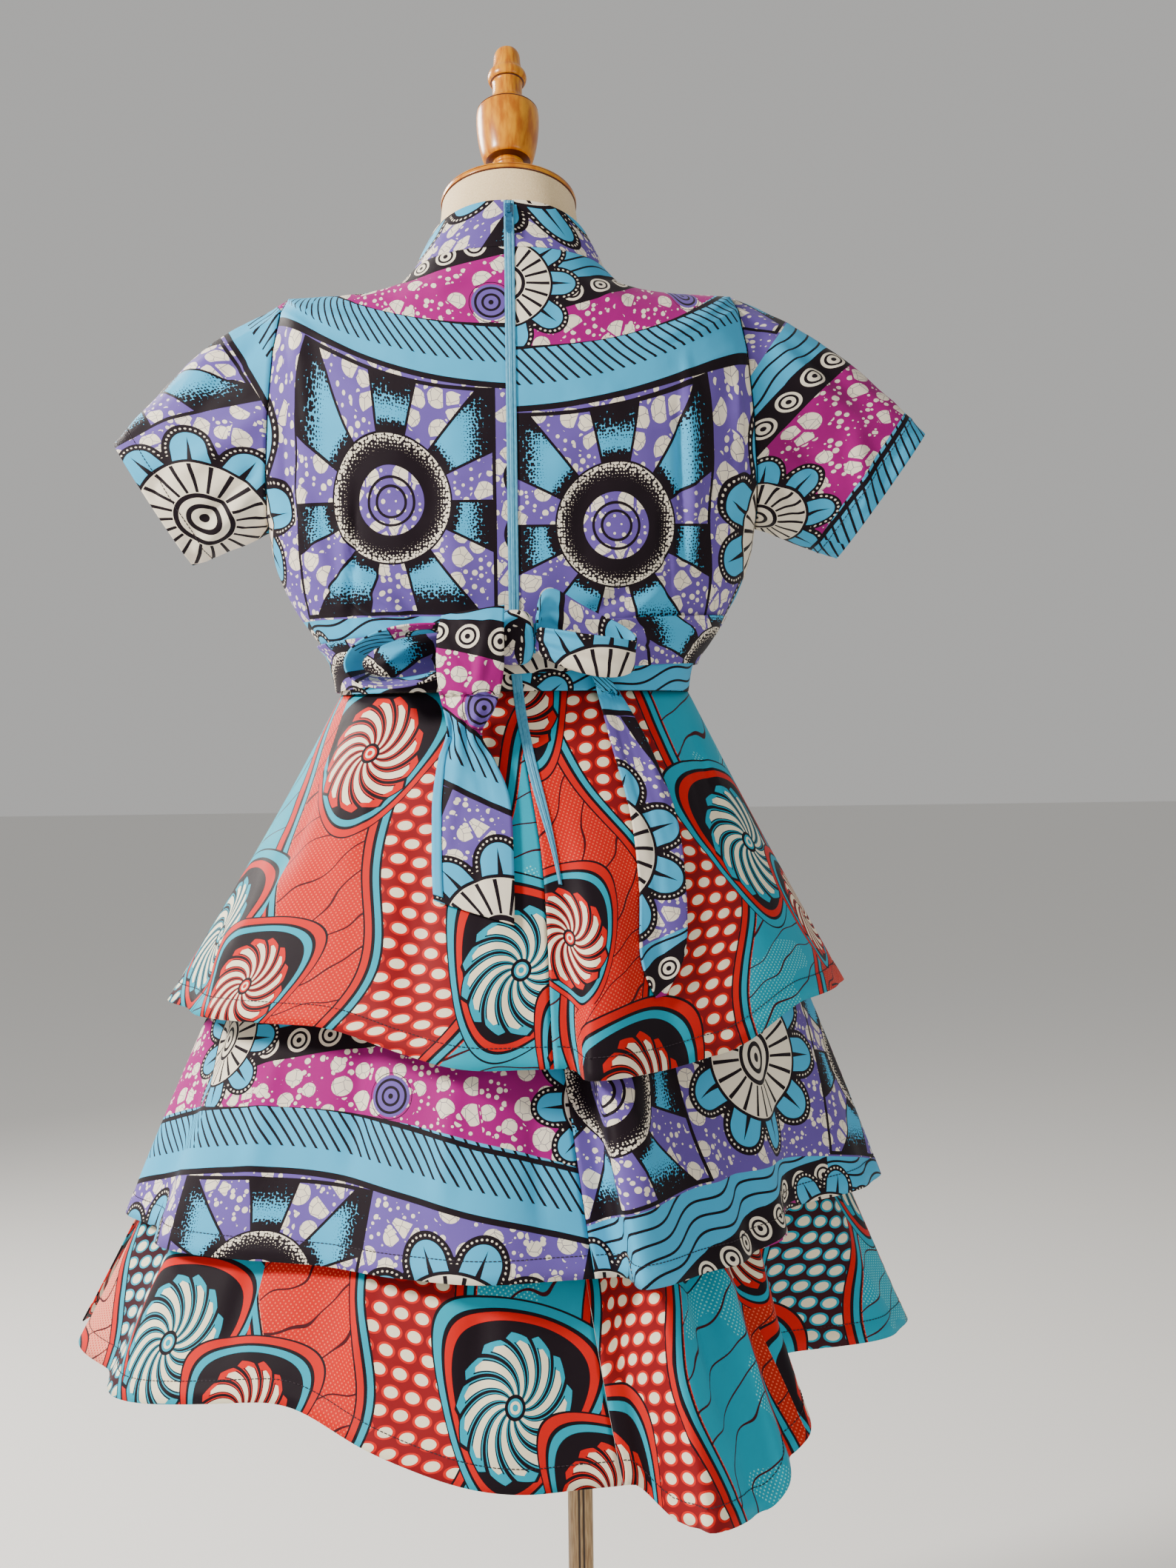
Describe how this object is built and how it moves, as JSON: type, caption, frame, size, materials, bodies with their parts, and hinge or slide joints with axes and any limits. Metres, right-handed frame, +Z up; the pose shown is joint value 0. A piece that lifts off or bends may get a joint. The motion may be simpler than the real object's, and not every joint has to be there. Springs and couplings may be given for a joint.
{
  "type": "wax print dress on dress form with stand",
  "caption": "Short-sleeved knee-length wax print dress with tiered skirt, funnel collar, back zip and tied sash, on a limbless dress form with a pole stand.",
  "frame": {"origin": "centre of the stand base's underside", "axes": "+Z up, the dress faces -Y, +X is the wearer's left"},
  "size_m": [0.7189, 0.5738, 1.5825],
  "materials": {
    "print_blue": "blue, purple and near-black wax print cotton",
    "print_red": "red, turquoise and near-black wax print cotton",
    "linen": "cream linen over a firm form",
    "honey_wood": "glossy honey varnish",
    "pale_wood": "pale brown satin",
    "zip_blue": "light blue woven tape and enamelled slider"
  },
  "bodies": {
    "root": {"bodice_front": "print_blue", "bodice_back_left": "print_blue", "bodice_back_right": "print_blue", "collar": "print_blue", "sleeve_left": "print_blue", "sleeve_right": "print_blue", "middle_tier_front": "print_blue", "middle_tier_back_left": "print_blue", "middle_tier_back_right": "print_blue", "sash_band": "print_blue", "sash_knot": "print_blue", "sash_loop_left": "print_blue", "sash_loop_right": "print_blue", "sash_tail_left": "print_blue", "sash_tail_right": "print_blue", "top_tier_front": "print_red", "top_tier_back_left": "print_red", "top_tier_back_right": "print_red", "bottom_tier_front": "print_red", "bottom_tier_back_left": "print_red", "bottom_tier_back_right": "print_red", "form_torso": "linen", "neck_cap": "honey_wood", "finial": "honey_wood", "pole": "pale_wood", "base": "pale_wood", "zip_tape": "zip_blue", "zip_slider": "zip_blue"},
    "zip_pull": {"zip_pull": "zip_blue"}
  },
  "joints": [
    {"name": "zip_pull_swing", "type": "hinge", "parent": "root", "child": "zip_pull", "pos_m": [0.0466, 0.06691, 1.41067], "axis": [1, 0, 0], "range_deg": [0, 170]}
  ]
}
